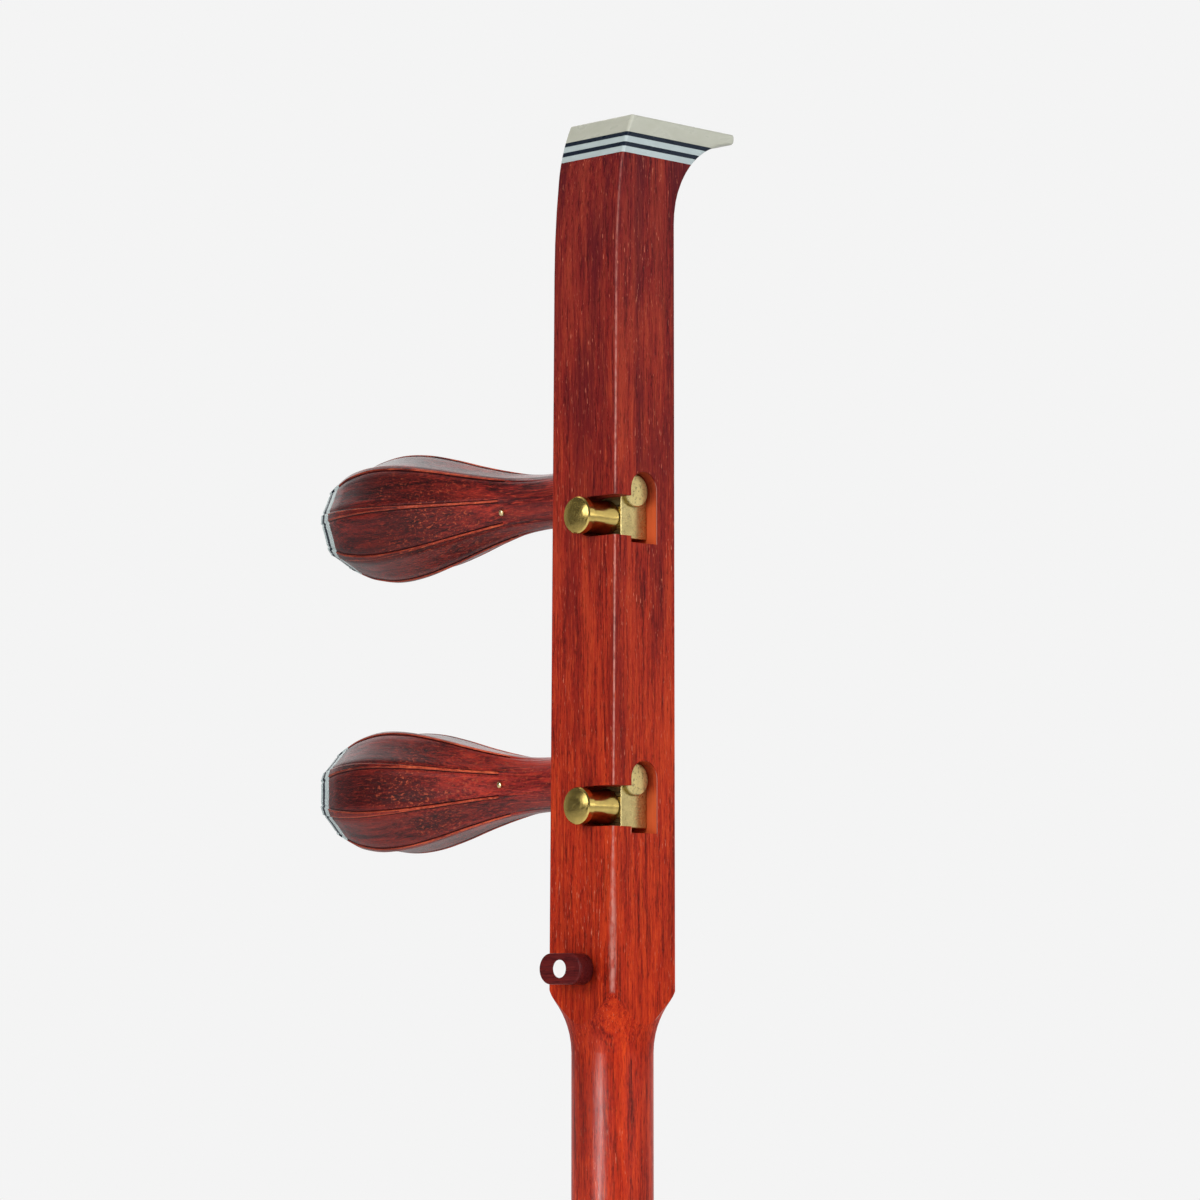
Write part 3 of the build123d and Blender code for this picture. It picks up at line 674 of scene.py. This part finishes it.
def handle_piece(name, materials, near, far, axis_height, turn, socket=None):
    """One closed length of the handle between two distances, with a blind bore if it has a socket."""
    vertices, faces = [], []

    def add_vertex(distance, radius, around):
        x = -side_face * MM - distance
        z = axis_height + radius * math.cos(around) / MM
        vertices.append((x / MM, radius * math.sin(around) / MM, z))

    count = max(6, round((far - near) / ROW_STEP))
    span = far - near - 2 * EDGE_REACH
    distances = [near, near + EDGE_ROW]
    distances += [near + EDGE_REACH + span * i / count for i in range(count + 1)]
    distances += [far - EDGE_ROW, far]
    for distance in distances:
        edge_gap = min(distance - near, far - distance)
        shrink = EDGE_ROUNDING * max(0.0, 1 - edge_gap / EDGE_REACH) ** 2
        for radius, angle in handle_ring(distance, shrink):
            add_vertex(distance, radius, angle - math.radians(turn) - math.pi / 2)
    size = len(vertices) // len(distances)
    for row in range(len(distances) - 1):
        for k in range(size):
            a, b = row * size + k, row * size + (k + 1) % size
            faces.append((a, b, b + size, a + size))
    start, stop = len(vertices), (len(distances) - 1) * size
    if socket:
        bore, depth = socket
        for distance in (near, depth):
            for k in range(size):
                around = 2 * math.pi * k / size - math.radians(turn) - math.pi / 2 - HALF_FACET
                add_vertex(distance, bore, around)
        for k in range(size):
            a, b = start + k, start + (k + 1) % size
            faces.append((k, a, b, (k + 1) % size))
            faces.append((a, a + size, b + size, b))
        faces.append(tuple(range(start + size, start + 2 * size)))
    else:
        faces.append(tuple(range(size)))
    faces.append(tuple(reversed(range(stop, stop + size))))
    made = new_piece(name, vertices, faces, materials)
    mesh = made.data
    shaping = bmesh.new()
    shaping.from_mesh(mesh)
    bmesh.ops.recalc_face_normals(shaping, faces=shaping.faces)
    shaping.to_mesh(mesh)
    shaping.free()
    per_facet = size // FACETS
    for polygon in mesh.polygons:
        polygon.use_smooth = len(polygon.vertices) == 4
        distance = (-side_face - polygon.center.x) * MM
        if len(materials) > 1 and max(polygon.vertices) < start + size and distance > BEAD_START:
            # Strips of faces count from the ridge: one on the rib, two at its edge, two in the groove. The
            # edge strips, and the rib's own strip short of RIB_SPLIT, take a painted highlight; the groove
            # strips take painted shade.
            spots = sorted(v % per_facet for v in polygon.vertices)
            wraps = spots[0] == 0 and spots[-1] == per_facet - 1
            strip = 1 if wraps else min(spots[0] + 1, per_facet - spots[0])
            if strip in (2, 3) or (strip == 1 and distance < RIB_SPLIT):
                polygon.material_index = 1
            elif strip in (4, 5):
                polygon.material_index = 2
    return made


for tuner in TUNERS:
    shaft_low, shaft_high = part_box(f"{tuner}_worm_shaft")
    axis_height = (shaft_low.z + shaft_high.z) / 2
    stub_end = (-side_face - shaft_low.x) * MM
    for part, materials in (
        ("peg_handle", [peg_wood, rib_highlight_wood, groove_shade_wood]),
        ("peg_white_inner", [white_veneer]),
        ("peg_black_ring", [black_veneer]),
        ("peg_white_outer", [white_veneer]),
    ):
        low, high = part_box(f"{tuner}_{part}")
        near, far = (-side_face - high.x) * MM, (-side_face - low.x) * MM
        bore = (STUB_RADIUS + BORE_CLEARANCE, stub_end + BORE_SPARE)
        socket = bore if part == "peg_handle" else None
        piece = handle_piece(
            f"{tuner}_{part}_carved", materials, near, far, axis_height, PEG_TURNS[tuner], socket
        )
        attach(piece, f"{tuner}_peg")
        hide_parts(f"{tuner}_{part}")

# --- Cross pin heads ------------------------------------------------------------------------------
# Radius and height of each head over the pin's radius.
HEAD_SPREAD = 1.08
HEAD_HEIGHT = 0.55
HEAD_ROWS = 9
HEAD_SIDES = 32


def pin_head(name, centre, outward, radius, height):
    """A small domed brass head standing on the end of a cross pin."""
    axis = Vector(outward).normalized()
    side = axis.orthogonal().normalized()
    other = axis.cross(side)
    vertices, faces = [], []
    for row in range(HEAD_ROWS):
        angle = 0.5 * math.pi * row / HEAD_ROWS
        middle = Vector(centre) + axis * height * math.sin(angle)
        for k in range(HEAD_SIDES):
            turn = 2 * math.pi * k / HEAD_SIDES
            spread = side * math.cos(turn) + other * math.sin(turn)
            vertices.append(tuple(middle + spread * radius * math.cos(angle)))
    vertices.append(tuple(Vector(centre) + axis * height))
    for row in range(HEAD_ROWS - 1):
        for k in range(HEAD_SIDES):
            a, b = row * HEAD_SIDES + k, row * HEAD_SIDES + (k + 1) % HEAD_SIDES
            faces.append((a, b, b + HEAD_SIDES, a + HEAD_SIDES))
    last = (HEAD_ROWS - 1) * HEAD_SIDES
    tip = len(vertices) - 1
    faces += [(last + k, last + (k + 1) % HEAD_SIDES, tip) for k in range(HEAD_SIDES)]
    faces.append(tuple(reversed(range(HEAD_SIDES))))
    made = new_piece(name, vertices, faces, [pin_brass])
    for polygon in made.data.polygons:
        polygon.use_smooth = len(polygon.vertices) < 5
    return made


for tuner in TUNERS:
    pin_low, pin_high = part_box(f"{tuner}_cross_pin")
    middle = (pin_low + pin_high) / 2
    radius = (pin_high.x - pin_low.x) / 2
    turn = math.radians(PEG_TURNS[tuner])
    toward_front = Vector((0.0, -math.cos(turn), -math.sin(turn)))
    half_length = ((pin_high.y - pin_low.y) / 2 - radius * abs(math.sin(turn))) / math.cos(turn)
    for end, sign in (("front", 1.0), ("back", -1.0)):
        outward = sign * toward_front
        seat = middle + outward * half_length
        name = f"{tuner}_pin_head_{end}"
        piece = pin_head(name, seat, outward, HEAD_SPREAD * radius, HEAD_HEIGHT * radius)
        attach(piece, f"{tuner}_peg")

# --- Floor and backdrop ---------------------------------------------------------------------------
PALE = 0.905  # the backdrop as the camera sees it
FLOOR_SIZE = 14.0
FLOOR_GAP = 0.0005
foot = cad_box[0][2]
bpy.ops.mesh.primitive_plane_add(size=FLOOR_SIZE, location=(0, 0, foot - FLOOR_GAP))
floor = bpy.context.object
floor.name = "floor"
paper = Surface("floor_paper")
paper_fibre = paper.noise(paper.place((0.02, 0.02, 0.02)), 3.0, 0.5)
paper_tone = paper.mix(paper_fibre, (0.80, 0.80, 0.80), (0.84, 0.84, 0.84))
floor.data.materials.append(paper.finish(colour=paper_tone, rough=0.7))
# Away from the object the paper runs on into the white of the backdrop, as the camera sees it.
paper_white = paper.add("ShaderNodeEmission", {"Color": (PALE, PALE, PALE)}).outputs["Emission"]
paper_seen = paper.add("ShaderNodeLightPath").outputs["Is Camera Ray"]
far_out = paper.times(paper_seen, paper.remap(paper.length(paper.coordinates()), 0.25, 1.3))
paper_surface = paper.add(
    "ShaderNodeMixShader", {0: far_out, 1: paper.shader.outputs["BSDF"], 2: paper_white}
).outputs["Shader"]
paper.feed(paper.tree.nodes["Material Output"].inputs["Surface"], paper_surface)

AMBIENT = 0.36
# Three small windows that only polished surfaces pick out: azimuth, height, half width and level.
WINDOWS = ((-112, 11, 6, 3.6), (45, 5, 6, 1.0), (27, 4, 4, 3.5))
world = bpy.data.worlds.new("studio")
scene.world = world
world.use_nodes = True
sky = Graph(world.node_tree)
rays = sky.add("ShaderNodeLightPath").outputs
seen = sky.maths("MAXIMUM", rays["Is Camera Ray"], rays["Is Transmission Ray"])
# The pale backdrop stands behind the neck, and the room in front of it is darker.
direction = sky.coordinates("Generated")
mirrored = sky.remap(sky.toward(direction, 106), -0.4, 0.4, 0.10, 0.72)
for azimuth, height, spread, brightness in WINDOWS:
    edge, core = (math.cos(math.radians(share * spread)) for share in (1.3, 0.7))
    window = sky.remap(sky.toward(direction, azimuth, height), edge, core, 0.0, brightness)
    mirrored = sky.plus(mirrored, window)
ambient = sky.mix_level(rays["Is Glossy Ray"], AMBIENT, mirrored)
background = sky.tree.nodes["Background"]
sky.feed(background.inputs["Color"], (1, 1, 1))
sky.feed(background.inputs["Strength"], sky.mix_level(seen, ambient, PALE))

# --- Lamps and camera -----------------------------------------------------------------------------
target = Vector((0, 0, (nut_level + head_top) / 2))


def softbox(name, azimuth, elevation, distance, width, height, strength, tint=(1, 1, 1)):
    """Area lamp aimed at the middle of the head; azimuth is measured from +X towards +Y."""
    lamp = bpy.data.lights.new(name, "AREA")
    lamp.shape = "RECTANGLE"
    lamp.size, lamp.size_y = width, height
    lamp.energy = strength * math.pi**2 * distance**2
    lamp.color = tint
    holder = bpy.data.objects.new(name, lamp)
    scene.collection.objects.link(holder)
    a, e = math.radians(azimuth), math.radians(elevation)
    out = Vector((math.cos(a) * math.cos(e), math.sin(a) * math.cos(e), math.sin(e)))
    holder.location = target + out * distance
    holder.rotation_euler = (-out).to_track_quat("-Z", "Y").to_euler()


softbox("key_light", -81, 12, 2.2, 0.42, 1.7, 0.72, (1.0, 0.985, 0.96))
softbox("fill_light", 4, 16, 2.6, 1.2, 1.4, 0.63, (0.98, 0.99, 1.0))
softbox("back_light", 150, 40, 2.6, 2.4, 2.4, 0.22)

CAMERA_DISTANCE = 1.243
CAMERA_HEIGHT = 0.2856
# The sideways and upward parts of its aim.
CAMERA_SWING = -0.00286
CAMERA_RISE = 0.09767
camera_data = bpy.data.cameras.new("camera")
camera = bpy.data.objects.new("camera", camera_data)
scene.collection.objects.link(camera)
camera_data.sensor_width = 36.0
camera_data.lens = 130.0
camera_data.clip_start = 0.01
camera_data.clip_end = 100.0
side = math.sqrt(0.5)
camera.location = (CAMERA_DISTANCE * side, -CAMERA_DISTANCE * side, CAMERA_HEIGHT)
across = Vector((side, side, 0))
forward = Vector((-side, side, 0)) + across * CAMERA_SWING + Vector((0, 0, 1)) * CAMERA_RISE
camera.rotation_euler = forward.to_track_quat("-Z", "Y").to_euler()
scene.camera = camera
scene.view_settings.view_transform = "Standard"
